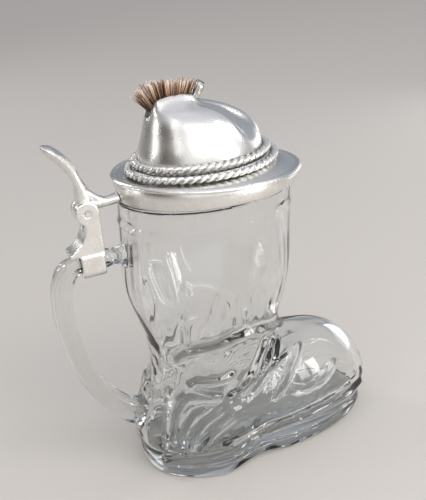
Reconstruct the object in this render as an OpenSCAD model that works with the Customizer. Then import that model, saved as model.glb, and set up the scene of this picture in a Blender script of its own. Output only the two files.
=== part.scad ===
// Half-litre glass boot tankard with a hinged pewter lid in the shape of an alpine hat.
// The toe points along +X, the handle along -X, and the sole stands on Z = 0.

/* [Glass boot] */
// Height of the glass rim above the table
rim_z = 149.6; // [130:0.1:175]
// Outside radius of the mouth
mouth_r = 45; // [40:0.1:50]
// Outside radius of the leg at its fullest
calf_r = 44.7; // [40:0.1:49]
// Outside radius of the leg at the ankle
ankle_r = 35.2; // [31:0.1:39]
// How far the ankle's centre lies behind the mouth's axis
ankle_back = 6.2; // [3:0.1:9]
// Height of the top of the toe
toe_top = 56.6; // [51:0.1:62]
// Distance from the mouth's axis to the tip of the toe
toe_reach = 81.5; // [72:0.1:92]
// Distance from the mouth's axis to the back of the heel
heel_reach = 55.6; // [50:0.1:62]
// Width of the heel
heel_w = 82; // [70:0.5:88]
// Width of the ball of the foot
ball_w = 65; // [56:0.5:74]
// How far the waist of the sole is drawn in on each side
waist_in = 5; // [0:0.1:8]
// Height of the arch between the heel and the ball
arch_h = 2.4; // [0:0.1:4]
// Thickness of the glass wall
wall = 4; // [3:0.1:5.5]
// Thickness of the glass under the foot
sole_t = 8; // [6:0.1:11]

/* [Glass handle] */
// How far the outside of the grip lies behind the strap
grip_out = 17.7; // [15:0.1:26]
// How far the handle's upper arm lies below the rim
arm_drop = 26.6; // [22:0.1:33]
// Height of the handle's lower root on the heel
root_z = 31; // [26:0.1:38]
// Thickness of the grip, seen from the side
grip_t = 11.4; // [9:0.1:14]
// Width of the grip, across the tankard
grip_w = 13.6; // [11:0.1:17]
// Gap left at the handle's fused ends
fuse_gap = 0.05; // [0.02:0.01:0.2]

/* [Hinge] */
// Distance from the lid's edge to the hinge pin
pin_out = 18.2; // [16:0.1:24]
// Height of the hinge pin below the lid's lower face
pin_drop = 0.7; // [0:0.1:3]
// Diameter of the hinge pin
pin_d = 3; // [2:0.1:4]
// Radial running clearance of the lid's knuckle on the pin
pin_clear = 0.05; // [0.02:0.01:0.1]
// Radius of the round hinge cheeks
cheek_r = 6; // [5:0.1:7.5]
// Overall width of the hinge, across the tankard
hinge_w = 14; // [12:0.1:18]
// Width of the lid's knuckle between the cheeks
knuckle_w = 6.2; // [5:0.1:8]
// Side clearance of the knuckle between the cheeks
side_clear = 0.3; // [0.1:0.05:0.6]
// Length of the strap along the handle's arm
strap_l = 12; // [9:0.1:15]
// Thickness of the strap round the arm
strap_t = 1.5; // [1:0.1:2.5]
// Clearance between the strap and the glass
strap_clear = 0.15; // [0.05:0.05:0.4]
// Height of the thumb pad above the hinge pin
thumb_h = 34.5; // [28:0.1:42]
// How far the thumb pad reaches behind the hinge pin
thumb_back = 15.6; // [11:0.1:20]
// Width of the thumb pad
thumb_w = 13; // [9:0.1:16]

/* [Hat lid] */
// How far the lid's edge stands out past the mouth
lid_over = 2.5; // [1.5:0.1:4]
// How far the lid's centre sits in front of the mouth's axis
lid_shift = 2.2; // [0:0.1:3]
// Gap between the lid and the glass rim
lid_gap = 0.3; // [0.2:0.05:0.8]
// Height of the lid's edge band below the middle of the brim
band_h = 9; // [7:0.1:12]
// Slope of the brim, falling towards the front
brim_slope = 0.064; // [0:0.002:0.09]
// Thickness of the brim at its edge
brim_t = 1.7; // [1.2:0.1:2.5]
// Height of the hat above the lid's lower face
hat_h = 46.6; // [41:0.1:54]
// Thickness of the hat's metal
hat_t = 2.2; // [1.5:0.1:3]
// Depth of the two pinches at the front of the crown, as a share of its radius
pinch = 0.2; // [0:0.01:0.26]
// Depth of the lip that drops into the mouth
lip_h = 2.4; // [1:0.1:4]
// Clearance between the lip and the inside of the mouth
lip_clear = 0.8; // [0.5:0.1:1.5]

/* [Hat cords] */
// Thickness of each twisted cord
cord_d = 4; // [3:0.1:5]
// Length of one full twist of a cord
twist_l = 8.4; // [7:0.1:14]

/* [Bristle tuft] */
// Length of the tuft's clip along the crown
clip_l = 24.5; // [20:0.5:26]
// Width of the tuft's clip
clip_w = 7; // [5:0.1:9]
// Length of the bristles
bristle_l = 15.6; // [12:0.1:18]
// Diameter of a bundle of bristles at its root
bristle_d = 1.1; // [0.8:0.05:1.2]

/* [Hidden] */

// Smooth curve through the rows of a list, at a running number s that counts the rows
function smooth_row(a, b, c, d, t) = b + 0.5 * t * ((c - a) + t * ((2 * a - 5 * b + 4 * c - d)
    + t * (3 * (b - c) + d - a)));
function row_at(rows, s) = let (
        last = len(rows) - 1,
        i = min(floor(s), last - 1)
    ) smooth_row(rows[max(i - 1, 0)], rows[i], rows[i + 1], rows[min(i + 2, last)], s - i);
function steps(from, to, count) = [for (i = [0 : count]) from + (to - from) * i / count];
function ease(v) = let (k = min(1, max(0, v))) k * k * (3 - 2 * k);
function bell(v) = exp(-v * v);
function hump(v) = abs(v) < 1 ? pow(1 - v * v, 2) : 0;
function unit(v) = v / norm(v);
function halves(a, b, c, d) = [[a, b, c], [a, c, d]];

// Solid skinned over a list of closed rings, with the two end rings closed by strips across
module skin(rings) {
    n = len(rings[0]);
    last = (len(rings) - 1) * n;
    sides = [for (r = [0 : len(rings) - 2], i = [0 : n - 1])
        each halves((r + 1) * n + i, (r + 1) * n + (i + 1) % n, r * n + (i + 1) % n, r * n + i)];
    strip = [for (i = [0 : n / 2 - 1])
        i == 0 ? [1, n - 1, 0] : i == n / 2 - 1 ? [i + 1, n - i, i] : [i + 1, n - i - 1, n - i, i]];
    top_faces = [for (f = strip) [for (k = [len(f) - 1 : -1 : 0]) last + f[k]]];
    polyhedron([for (r = rings) each r], concat(sides, strip, top_faces), convexity = 8);
}

// Boot: rows of back x, back z, front x, front z, heel half width, ball half width, waist, roundness
boot_sides = 36;
foot_k = toe_top / 56.6;
// Insets from the heel's back and the toe's tip with heights, then changes of width
foot_shape = [
    [6.6, 0.0, 15.5, 0.0, -0.8, -3.2, 1.0],
    [2.9, 1.1, 8.0, 2.0, 0.9, -0.1, 1.0],
    [1.8, 5.4, 4.2, 6.8, 0.8, 0.5, 1.0],
    [2.2, 8.4, 4.6, 9.6, -1.6, -1.0, 1.0],
    [0.3, 14.0, 0.25, 22.0, -0.6, 0.8, 0.8],
    [0.0, 18.5, 1.0, 31.0, -1.0, 0.2, 0.6],
    [0.4, 22.5, 5.6, 42.0, -1.6, -1.5, 0.5],
    [1.2, 26.0, 12.8, 50.0, -2.2, -3.5, 0.4],
    [2.4, 29.5, 21.0, 54.8, -2.8, -5.5, 0.3],
    [4.2, 33.2, 30.0, 56.6, -3.4, -6.0, 0.2],
    [6.4, 37.2, 38.6, 55.8, -4.0, -5.0, 0.1],
    [9.2, 41.8, 45.4, 54.2, -4.6, -3.5, 0.0]];
foot_round = 0.8;
foot_rows = [for (f = foot_shape) [f[0] - heel_reach, f[1] * foot_k, toe_reach - f[2], f[3] * foot_k,
    heel_w / 2 + f[4], ball_w / 2 + f[5], waist_in * f[6], foot_round]];
// Leg: a ring at a height, a centre and a radius
ankle_z = 65 * foot_k;
calf_z = ankle_z + 0.47 * (rim_z - ankle_z);
calf_back = 5;
function leg_row(z, x, r, dip) = [x - r, z - dip, x + r, z, r, r, 0, 1];
function leg_low(f, g) = leg_row(ankle_z + f * (calf_z - ankle_z),
    -ankle_back + g * (ankle_back - calf_back), ankle_r + g * (calf_r - ankle_r), 1);
function leg_high(f, g) = leg_row(calf_z + f * (rim_z - calf_z), -calf_back * (1 - g),
    calf_r + g * (mouth_r - calf_r), 1 - f);
instep_rows = [
    [-ankle_back - ankle_r - 1.6, ankle_z - 18.5, -ankle_back + ankle_r + 2.6, ankle_z - 11.4,
        ankle_r + 0.4, ankle_r - 3, 0, 0.9],
    [-ankle_back - ankle_r - 0.2, ankle_z - 9.5, -ankle_back + ankle_r + 0.3, ankle_z - 7,
        ankle_r + 0.6, ankle_r - 0.5, 0, 1]];
leg_rows = [leg_low(0, 0), leg_low(0.28, 0.2), leg_low(0.6, 0.62), leg_low(1, 1),
    leg_high(0.4, 0.42), leg_high(0.78, 0.75), leg_high(1, 1)];
boot_rows = concat(foot_rows, instep_rows, leg_rows);
boot_last = len(boot_rows) - 1;
floor_row = 3.5;
rim_round = 1.2;

// One ring of the boot, its arch lifted off the table under the waist
function boot_ring(row, lift) = [for (i = [0 : boot_sides - 1]) let (
        a = 360 * i / boot_sides,
        u = cos(a),
        v = sin(a),
        side = row[4] + (row[5] - row[4]) * ease(u + 0.6) - row[6] * bell((u + 0.13) / 0.26),
        mid_x = (row[0] + row[2]) / 2,
        mid_z = (row[1] + row[3]) / 2
    ) [mid_x + (row[2] - row[0]) / 2 * u, side * sign(v) * pow(abs(v), row[7]),
        mid_z + (row[3] - row[1]) / 2 * u + lift * hump((u + 0.16) / 0.36)]];
function boot_lift(row) = arch_h * max(0, 1 - row[1] / 9);
// The same ring moved inwards by the wall, square to the back and front outlines
function boot_inner_row(s, extra, drop) = let (
        row = row_at(boot_rows, s),
        d = row_at(boot_rows, min(s + 0.1, boot_last)) - row_at(boot_rows, s - 0.1),
        back = unit([d[1], -d[0]]) * (wall + extra),
        front = unit([-d[3], d[2]]) * (wall + extra)
    ) [row[0] + back[0], row[1] + back[1] - drop, row[2] + front[0], row[3] + front[1] - drop,
        row[4] - wall - extra, row[5] - wall - extra, row[6], row[7]];
inner_floor_z = row_at(boot_rows, floor_row)[1];
floor_drop = inner_floor_z - sole_t;

// Back surface of the boot at a side distance and a height, for what is fused to it
boot_back = [for (s = steps(0, boot_last, 60)) [row_at(boot_rows, s)[1], s]];
function back_row(z) = row_at(boot_rows, lookup(z, boot_back));
function back_in(row, y) = 1 - sqrt(1 - pow(abs(y) / row[4], 2 / row[7]));
function back_x(y, z) = let (
        level = back_row(z),
        row = back_row(z - (level[3] - level[1]) / 2 * back_in(level, y))
    ) row[0] + (row[2] - row[0]) / 2 * back_in(row, y);

module glass_boot() {
    outer = [for (s = concat(steps(0, boot_last - 0.25, 52), [boot_last - 0.1]))
        let (row = row_at(boot_rows, s)) boot_ring(row, boot_lift(row))];
    lip = [for (e = [[0, rim_round], [0.3 * rim_round, 0.3 * rim_round], [rim_round, 0],
            [wall - rim_round, 0], [wall - 0.3 * rim_round, 0.3 * rim_round], [wall, rim_round]])
        boot_ring(leg_row(rim_z - e[1], 0, mouth_r - e[0], 0), 0)];
    inner = [for (s = steps(boot_last - 0.25, floor_row + 0.5, 18)) boot_ring(boot_inner_row(s, 0, 0), 0)];
    base = [for (e = [[0.3, 0.4], [2, 0.85], [6, 1]])
        boot_ring(boot_inner_row(floor_row, e[0], floor_drop * e[1]), 0)];
    color("aliceblue", 0.5) skin(concat(outer, lip, inner, base));
}

// Bar swept along rows of x, z, half thickness and half width in the plane of symmetry
function bar_section(n, a, b, flute) = [for (i = [0 : n - 1]) let (
        t = 360 * i / n,
        k = 1 + flute * cos(4 * t)
    ) [a * k * cos(t), b * k * sin(t)]];
function bar_rings(rows, count, n, flute = 0) = let (
        last = len(rows) - 1
    ) [for (s = steps(0, last, count)) let (
            row = row_at(rows, s),
            d = row_at(rows, min(s + 0.05, last)) - row_at(rows, max(s - 0.05, 0)),
            side = unit([d[1], -d[0]])
        ) [for (p = bar_section(n, row[2], row[3], flute))
            [row[0] + side[0] * p[0], p[1], row[1] + side[1] * p[0]]]];

// Hinge places
lid_r = mouth_r + lid_over;
lid_z = rim_z + lid_gap;
pin_x = lid_shift - lid_r - pin_out;
pin_z = lid_z - pin_drop;
arm_z = rim_z - arm_drop;
strap_x = pin_x - 1.4;
handle_reach = strap_l / 2 - strap_x + grip_out;
// The tankard is centred between the toe and the grip
origin_x = (handle_reach - toe_reach) / 2;
arm_a = grip_t / 2 - 0.8;
arm_b = grip_w / 2 - 0.6;
grip_flute = -0.045;
bar_sides = 16;

// Handle: straight arm under the strap, then a bend and a long curve down to the heel. Its ends stop
// at the boot's surface
grip_x = grip_t / 2 * (1 + grip_flute) - handle_reach;
function grip_row(dx, f, a, b) = [grip_x + dx, root_z + f * (arm_z - root_z), grip_t / 2 * a,
    grip_w / 2 * b];
arm_root = back_x(0, arm_z);
heel_root = back_x(0, root_z);
root_in = 2.6;
neck_x = (arm_root + strap_x + strap_l / 2) / 2;
handle_rows = [
    [arm_root + root_in, arm_z - 1, arm_a * 1.4, arm_b * 1.2],
    [arm_root - 2.5, arm_z - 0.5, arm_a * 1.0, arm_b],
    [neck_x - 0.5, arm_z, arm_a * 0.82, arm_b * 0.9],
    [strap_x + strap_l / 2 + 1, arm_z, arm_a, arm_b],
    [strap_x + strap_l / 4, arm_z, arm_a, arm_b],
    [strap_x, arm_z, arm_a, arm_b],
    [strap_x - strap_l / 4, arm_z, arm_a, arm_b],
    [strap_x - strap_l / 2, arm_z, arm_a, arm_b],
    [strap_x - strap_l / 2 - 3.2, arm_z - 0.5, arm_a, arm_b],
    grip_row(4.6, 0.957, 1.04, 1),
    grip_row(1.1, 0.875, 1.02, 1),
    grip_row(0, 0.745, 1, 1),
    grip_row(0.9, 0.6, 0.98, 1),
    grip_row(4.6, 0.405, 1.0, 1.02),
    grip_row(10.4, 0.245, 1.02, 1.05),
    grip_row(18.2, 0.12, 1.06, 1.1),
    [(grip_x + 18.2 + heel_root) / 2 + 1, root_z + 3.6, grip_t * 0.62, grip_w * 0.58],
    [heel_root + root_in, root_z, grip_t * 0.76, grip_w * 0.66]];
end_shrink = [0.05, 0.4, 0.72];
function shrunk(ring, k) = let (
        mid = (ring[0] + ring[len(ring) / 2]) / 2
    ) [for (p = ring) mid + (p - mid) * k];
module glass_handle() {
    rings = bar_rings(handle_rows, 35, bar_sides, grip_flute);
    closed = concat(
        [for (k = end_shrink) shrunk(rings[0], k)],
        rings,
        [for (i = [len(end_shrink) - 1 : -1 : 0]) shrunk(rings[len(rings) - 1], end_shrink[i])]);
    color("aliceblue", 0.5) skin([for (ring = closed)
        [for (p = ring) [min(p[0], back_x(p[1], p[2]) - fuse_gap), p[1], p[2]]]]);
}

// Strap: a band round the arm that carries the hinge post with its two cheeks
post_foot_z = arm_z + arm_a + strap_clear;
post_front = pin_x + cheek_r - 0.6;
post_rear = pin_x - cheek_r * 2.05;
slot_depth = cheek_r + 2.7;
strap_round = 3;
slot_w = knuckle_w + 2 * side_clear;
module side_extrude(w) {
    rotate([90, 0, 0]) translate([0, 0, -w / 2]) linear_extrude(w) children();
}
module post_side() {
    sweep_r = (pin_z - post_foot_z) * 0.66;
    difference() {
        translate([post_rear, post_foot_z]) square([post_front - post_rear, pin_z - post_foot_z]);
        translate([post_rear - 4.4, post_foot_z + strap_t + sweep_r]) circle(sweep_r + 0.2, $fn = 64);
        translate([pin_x - 2 * cheek_r, pin_z - cheek_r * 0.75]) square(cheek_r * 1.5);
    }
    translate([pin_x, pin_z]) circle(cheek_r, $fn = 64);
}
module strap_ring() {
    half_w = arm_b + strap_clear + strap_t;
    half_h = arm_a + strap_clear + strap_t;
    translate([strap_x - strap_l / 2, 0, arm_z]) rotate([90, 0, 90]) linear_extrude(strap_l) difference() {
        union() {
            square([2 * half_w, 2 * (half_h - strap_round)], center = true);
            square([2 * (half_w - strap_round), 2 * half_h], center = true);
            for (y = [-1, 1], z = [-1, 1])
                translate([y * (half_w - strap_round), z * (half_h - strap_round)])
                    circle(strap_round, $fn = 48);
        }
        polygon([for (p = bar_section(bar_sides, arm_a, arm_b, grip_flute))
            let (k = 1 + strap_clear / norm(p)) [p[1] * k, p[0] * k]]);
    }
}
module handle_strap() {
    color("silver") difference() {
        union() {
            strap_ring();
            side_extrude(hinge_w) post_side();
        }
        translate([pin_x - 3 * cheek_r, -slot_w / 2, pin_z - slot_depth])
            cube([6 * cheek_r, slot_w, 3 * cheek_r]);
        translate([pin_x, 0, pin_z]) rotate([90, 0, 0])
            cylinder(h = 2 * hinge_w, d = pin_d, center = true, $fn = 48);
    }
}

module hinge_pin() {
    color("silver") translate([pin_x, 0, pin_z]) rotate([90, 0, 0])
        cylinder(h = hinge_w, d = pin_d, center = true, $fn = 48);
}

// Thumb lift: a knuckle on the pin, a lever up to the thumb pad and an arm to the lid's band
lever_a = 2.7;
function lever_row(fx, fz, a, b) = [pin_x - fx * thumb_back, pin_z + fz * thumb_h, a * lever_a, b];
lever_rows = [
    lever_row(-0.05, 0.06, 1.7, knuckle_w / 2),
    lever_row(0.0, 0.26, 1.6, knuckle_w / 2),
    lever_row(0.08, 0.46, 1.0, knuckle_w / 2),
    lever_row(0.24, 0.66, 0.95, knuckle_w / 2),
    lever_row(0.52, 0.86, 0.85, thumb_w * 0.38),
    lever_row(0.8, 0.98, 0.75, thumb_w * 0.5),
    lever_row(1.0, 1.03, 0.35, thumb_w * 0.32)];
arm_rows = [
    [pin_x + 0.4 * lever_a, pin_z + 0.8 * lever_a, 1.2 * lever_a, knuckle_w / 2],
    [pin_x + cheek_r, pin_z + 1.05 * lever_a, 1.07 * lever_a, knuckle_w / 2],
    [pin_x + pin_out * 0.6, pin_z + 0.96 * lever_a, 0.93 * lever_a, knuckle_w / 2],
    [pin_x + pin_out * 1.1, lid_z + 1.15 * lever_a, 1.03 * lever_a, knuckle_w * 0.75]];
module thumb_lift() {
    color("silver") difference() {
        union() {
            skin(bar_rings(lever_rows, 18, 12));
            skin(bar_rings(arm_rows, 8, 12));
            translate([pin_x, 0, pin_z]) rotate([90, 0, 0])
                cylinder(h = knuckle_w, r = cheek_r - 0.4, center = true, $fn = 64);
        }
        translate([pin_x, 0, pin_z]) rotate([90, 0, 0])
            cylinder(h = 2 * hinge_w, d = pin_d + 2 * pin_clear, center = true, $fn = 48);
        translate([lid_shift, 0, lid_z]) rotate_extrude($fn = 128) band_side();
    }
}

// Lid: shapes about the lid's centre, measured up from the lid's lower face
brim_r = lid_r + 1.6;
band_top = band_h - brim_t;
band_w = 3;
flange_t = 2.5;
lip_r = mouth_r - wall - lip_clear;
lip_w = 2;
// Outline of the band, swelling a little from its lower edge up to the brim
module band_side() {
    polygon([[0, 0], [lid_r - 0.6, 0], [lid_r, 0.6], [lid_r + 0.6, band_h / 2], [lid_r + 0.8, 2 * band_h],
        [0, 2 * band_h]]);
}
module lid_rim() {
    color("silver") translate([lid_shift, 0, lid_z]) difference() {
        union() {
            rotate_extrude($fn = 128) difference() {
                band_side();
                translate([-1, flange_t]) square([lid_r - band_w + 1, 3 * band_h]);
            }
            translate([-lid_shift, 0, -lip_h]) cylinder(h = lip_h + flange_t / 2, r = lip_r, $fn = 128);
        }
        translate([-lid_shift, 0, -lip_h - 1])
            cylinder(h = lip_h + flange_t + 2, r = lip_r - lip_w, $fn = 128);
        translate([0, 0, band_top]) rotate([0, atan(brim_slope), 0])
            translate([-2 * lid_r, -2 * lid_r, 0]) cube([4 * lid_r, 4 * lid_r, 3 * band_h]);
    }
}

// Hat: rows of centre x, x radius, y radius, height, slope and pinch
hat_sides = 36;
pinch_turn = 40;
groove_d = 7.2;
clip_gap = 0.15;
front_drop = 1.7;
groove_w = clip_w + 2 * clip_gap;
crown_base = band_h + 2.4;
crown_k = (hat_h - crown_base) / 35.2;
hat_x = -2;
wall_low = lid_r - 11.9;
wall_high = lid_r - 15.5;
function crown_row(x, shrink, flat, up, slope, dent) = [x, wall_high - shrink, wall_high - shrink - flat,
    crown_base + up * crown_k, slope, dent * pinch];
hat_outer = [
    [0, lid_r - band_w, lid_r - band_w, band_top, brim_slope, 0],
    [0, brim_r - 0.5, brim_r - 0.5, band_top, brim_slope, 0],
    [0, brim_r, brim_r, band_h - brim_t / 2, brim_slope, 0],
    [0, brim_r - 0.6, brim_r - 0.6, band_h, brim_slope, 0],
    [-0.4, brim_r - 3.2, brim_r - 3.2, band_h + 0.3, brim_slope * 0.85, 0],
    [-1.5, brim_r - 7.0, brim_r - 7.0, band_h + 1.0, brim_slope * 0.45, 0],
    [hat_x, wall_low + 2.4, wall_low + 2.4, band_h + 1.6, 0, 0],
    [hat_x, wall_low, wall_low, crown_base, 0, 0],
    [hat_x, wall_low - 0.2, wall_low - 0.2, crown_base + 2.6, 0, 0],
    [hat_x, wall_high + 0.2, wall_high + 0.2, crown_base + 3.6, 0, 0],
    [hat_x, wall_high - 0.1, wall_high - 0.1, crown_base + 8.0, 0, 0],
    crown_row(-1.5, 0.8, 0.6, 12.5, 0, 0.1),
    crown_row(-1.5, 3.0, 1.4, 18.0, 0.03, 0.45),
    crown_row(-2.6, 6.4, 1.8, 24.0, 0.08, 1),
    crown_row(-5.6, 11.0, 2.2, 28.2, 0.07, 1),
    crown_row(-11.0, 16.8, 2.2, 31.4, 0.01, 0.6),
    crown_row(-13.1, 19.8, 3.0, 33.4, 0, 0.25),
    crown_row(-13.4, 22.8, 3.2, 34.7, 0, 0),
    crown_row(-12.6, 26.6, 1.5, 35.2, 0, 0)];
function hat_inside(row, down) = [row[0], row[1] - hat_t, row[2] - hat_t, row[3] - down, row[4], row[5]];
hat_top_in = crown_row(-8, 13.5, 2.4, 35.2, 0, 0.6);
hat_inner = concat([hat_inside(hat_top_in, groove_d + hat_t)],
    [for (k = [[13, 1.2], [12, 0.45], [11, 0.3], [10, 0.2], [9, 0.8], [8, 1.2], [6, 1]])
        hat_inside(hat_outer[k[0]], hat_t * k[1])]);
function hat_ring(row) = [for (i = [0 : hat_sides - 1]) let (
        a = 360 * i / hat_sides,
        turn = a > 180 ? 360 - a : a,
        k = 1 - row[5] * bell((turn - pinch_turn) / 18),
        x = row[0] + row[1] * k * cos(a)
    ) [x, row[2] * k * sin(a), row[3] - row[4] * x]];
module hat_shell() {
    color("silver") difference() {
        translate([lid_shift, 0, lid_z]) skin([for (r = concat(hat_inner, hat_outer)) hat_ring(r)]);
        translate([clip_x - clip_l, -groove_w / 2, clip_z])
            cube([1.5 * clip_l + clip_gap, groove_w, 2 * groove_d]);
    }
}

// Twisted cord: two strands wound round each other along a ring
module hat_cord(ring_r, z) {
    turns = round(2 * PI * ring_r / twist_l);
    count = turns * 6;
    n = 8;
    rings = [for (j = [0 : count - 1]) let (
            around = 360 * j / count,
            twist = turns * around
        ) [for (i = [0 : n - 1]) let (
            a = 360 * i / n,
            r = cord_d / 2 * (0.84 + 0.16 * cos(2 * (a - twist)))
        ) [(ring_r + r * cos(a)) * cos(around), (ring_r + r * cos(a)) * sin(around), z + r * sin(a)]]];
    faces = [for (j = [0 : count - 1], i = [0 : n - 1]) let (next = (j + 1) % count)
        each halves(j * n + i, j * n + (i + 1) % n, next * n + (i + 1) % n, next * n + i)];
    color("silver") translate([lid_shift + hat_x, 0, lid_z])
        polyhedron([for (r = rings) each r], faces, convexity = 4);
}
cord_gap = 0.15;
module hat_cord_lower() {
    hat_cord(wall_low + cord_d / 2 + cord_gap, crown_base + cord_d / 2 - 0.5);
}
module hat_cord_upper() {
    hat_cord(wall_high + cord_d / 2 + cord_gap, crown_base + 3.5 + cord_d / 2);
}

// Tuft: a channel in the groove on top of the crown, with a round tab that leans out at its front
clip_x = lid_shift - 12.65;
clip_z = lid_z + hat_h - groove_d;
clip_t = 0.8;
clip_h = 2.2;
tab_h = 17;
tab_t = 2.2;
tab_lean = 38;
tab_w = clip_w - clip_t;
tab_foot = tab_t / cos(tab_lean) + (groove_d - front_drop) * tan(tab_lean);
fan_front = -26;
fan_back = 55;
fan_side = 5;
fan_trim = 0.28;
module tuft_clip() {
    color("silver") translate([clip_x, 0, clip_z]) {
        difference() {
            translate([-clip_l / 2, -clip_w / 2, 0]) cube([clip_l, clip_w, clip_h]);
            translate([-clip_l / 2 - 1, -clip_w / 2 + clip_t, clip_t])
                cube([clip_l + 2, clip_w - 2 * clip_t, clip_h]);
        }
        translate([clip_l / 2 - tab_foot, 0, 0]) difference() {
            rotate([0, tab_lean, 0]) rotate([90, 0, 90]) linear_extrude(tab_t) {
                translate([-tab_w / 2, -tab_t]) square([tab_w, tab_h - tab_w / 2 + tab_t]);
                translate([0, tab_h - tab_w / 2]) circle(d = tab_w, $fn = 48);
            }
            translate([-clip_w, -clip_w, clip_t / 2 - clip_w]) cube([2 * clip_w, 2 * clip_w, clip_w]);
        }
    }
}
module tuft_bristles() {
    span = clip_l - tab_foot - 2 * bristle_d;
    count = floor(span / (1.45 * bristle_d));
    row_gap = (clip_w - 2 * clip_t - 2 * bristle_d) / 2;
    root_up = clip_t + bristle_d / 2 * sin(fan_back) + 0.15;
    color("tan") translate([clip_x - tab_foot / 2, 0, clip_z + root_up]) for (i = [0 : count], j = [-1 : 1])
        translate([span * (i / count - 0.5), j * row_gap, 0])
            rotate([-j * fan_side, -fan_back + (fan_back - fan_front) * i / count, 0])
                cylinder(h = bristle_l * (1 - fan_trim * pow(1 - i / count, 2)), d1 = bristle_d,
                    d2 = bristle_d * 0.9, $fn = 16);
}

module place() {
    translate([origin_x, 0, 0]) children();
}

place() glass_boot();
place() glass_handle();
place() handle_strap();
place() hinge_pin();
place() thumb_lift();
place() lid_rim();
place() hat_shell();
place() hat_cord_lower();
place() hat_cord_upper();
place() tuft_clip();
place() tuft_bristles();
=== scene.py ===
import math

import bmesh
import bpy
import numpy as np
from mathutils import Matrix, Vector, noise


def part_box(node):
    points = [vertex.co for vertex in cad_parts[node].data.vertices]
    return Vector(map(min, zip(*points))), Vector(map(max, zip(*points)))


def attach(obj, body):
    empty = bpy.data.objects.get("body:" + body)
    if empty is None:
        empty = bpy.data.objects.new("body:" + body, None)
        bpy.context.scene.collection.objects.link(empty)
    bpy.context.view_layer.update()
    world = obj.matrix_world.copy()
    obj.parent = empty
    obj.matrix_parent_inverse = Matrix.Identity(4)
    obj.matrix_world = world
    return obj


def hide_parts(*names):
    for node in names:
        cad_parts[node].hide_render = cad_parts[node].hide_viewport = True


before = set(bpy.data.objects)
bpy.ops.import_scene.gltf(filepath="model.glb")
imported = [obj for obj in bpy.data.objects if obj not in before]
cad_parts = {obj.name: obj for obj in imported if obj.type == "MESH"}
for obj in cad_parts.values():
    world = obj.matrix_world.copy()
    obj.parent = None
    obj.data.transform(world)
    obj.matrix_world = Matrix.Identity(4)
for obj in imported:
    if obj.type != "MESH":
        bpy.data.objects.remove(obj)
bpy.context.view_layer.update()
scene = bpy.context.scene
mm = 0.001


# Small tools

def hexColor(code):  # sRGB hex to linear RGBA
    parts = [int(code[i:i + 2], 16) / 255 for i in (1, 3, 5)]
    return tuple(c / 12.92 if c <= 0.04045 else ((c + 0.055) / 1.055) ** 2.4 for c in parts) + (1.0,)


def add(tree, kind, inputs=None, **settings):  # one node with its settings and links
    node = tree.nodes.new(kind)
    for name, value in settings.items():
        setattr(node, name, value)
    for key, value in (inputs or {}).items():
        if isinstance(value, bpy.types.Node):  # a node stands for its first output
            value = value.outputs[0]
        if isinstance(value, bpy.types.NodeSocket):
            tree.links.new(value, node.inputs[key])
        else:
            node.inputs[key].default_value = value
    return node


def newMaterial(name):
    material = bpy.data.materials.new(name)
    material.use_nodes = True
    material.node_tree.nodes.clear()
    return material, material.node_tree


def newObject(name, mesh, material):
    obj = bpy.data.objects.new(name, mesh)
    scene.collection.objects.link(obj)
    mesh.materials.clear()
    mesh.materials.append(material)
    return obj


def place(obj, body, node):  # ride on a body, stand for a node
    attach(obj, body)
    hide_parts(node)
    return obj


def smoothRows(rows, s):  # smooth curve through rows at running numbers s
    last = len(rows) - 1
    s = np.clip(np.asarray(s, float), 0, last)
    i = np.minimum(s.astype(int), last - 1)
    t = (s - i)[:, None]
    a, b, c, d = rows[np.maximum(i - 1, 0)], rows[i], rows[i + 1], rows[np.minimum(i + 2, last)]
    return b + 0.5 * t * ((c - a) + t * ((2 * a - 5 * b + 4 * c - d) + t * (3 * (b - c) + d - a)))


def ease(v):
    v = np.clip(v, 0, 1)
    return v * v * (3 - 2 * v)


def ramp(v, start, over):  # 0 at the start, 1 beyond that length, which may run down
    return ease((v - start) / over)


def bell(v):
    return np.exp(-v * v)


def roundAngles(count):
    return np.linspace(0, 2 * math.pi, count, endpoint=False)


def boxMm(node):  # a node's lowest and highest corners
    return [np.array(corner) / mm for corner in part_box(node)]


def loftMesh(name, rings, loop=False):  # rings in mm, shape (rings, around, 3), faces outward
    count, around = rings.shape[:2]
    index = np.arange(count * around).reshape(count, around)
    upper = np.roll(index, -1, axis=0) if loop else index[1:]
    lower = index if loop else index[:-1]
    quads = np.stack([lower, np.roll(lower, -1, axis=1), np.roll(upper, -1, axis=1), upper], axis=-1)
    faces = quads.reshape(-1, 4).tolist()
    points = (rings.reshape(-1, 3) * mm).tolist()
    if not loop:  # a middle point closes each end
        for ring, turn in ((0, -1), (count - 1, 1)):
            points.append((rings[ring].mean(axis=0) * mm).tolist())
            hub = len(points) - 1
            edge = index[ring][::turn]
            faces += [(int(edge[k]), int(edge[(k + 1) % around]), hub) for k in range(around)]
    mesh = bpy.data.meshes.new(name)
    mesh.from_pydata(points, [], faces)
    mesh.shade_smooth()
    mesh.update()
    return mesh


def plainMesh(obj, name):  # the evaluated result as a plain mesh, with the modifiers gone
    depsgraph = bpy.context.evaluated_depsgraph_get()
    mesh = bpy.data.meshes.new_from_object(obj.evaluated_get(depsgraph))
    mesh.name = name
    obj.modifiers.clear()
    old = obj.data
    obj.data = mesh
    bpy.data.meshes.remove(old)
    return mesh


def dressMetal(mesh, hollowShadeTarnish=None):  # pewter, smooth, with the tarnish and painted shade of each point
    mesh.materials.clear()
    mesh.materials.append(pewter)
    mesh.shade_smooth()
    if hollowShadeTarnish is not None:
        values = np.broadcast_to(hollowShadeTarnish, len(mesh.vertices)).astype(np.float32)
        mesh.attributes.new("hollowShadeTarnish", "FLOAT", "POINT").data.foreach_set("value", values)


def direction(azimuth, elevation):  # from the object outward, azimuth from the front
    a, e = math.radians(azimuth), math.radians(elevation)
    return Vector((math.sin(a) * math.cos(e), -math.cos(a) * math.cos(e), math.sin(e)))


# Materials

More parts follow.
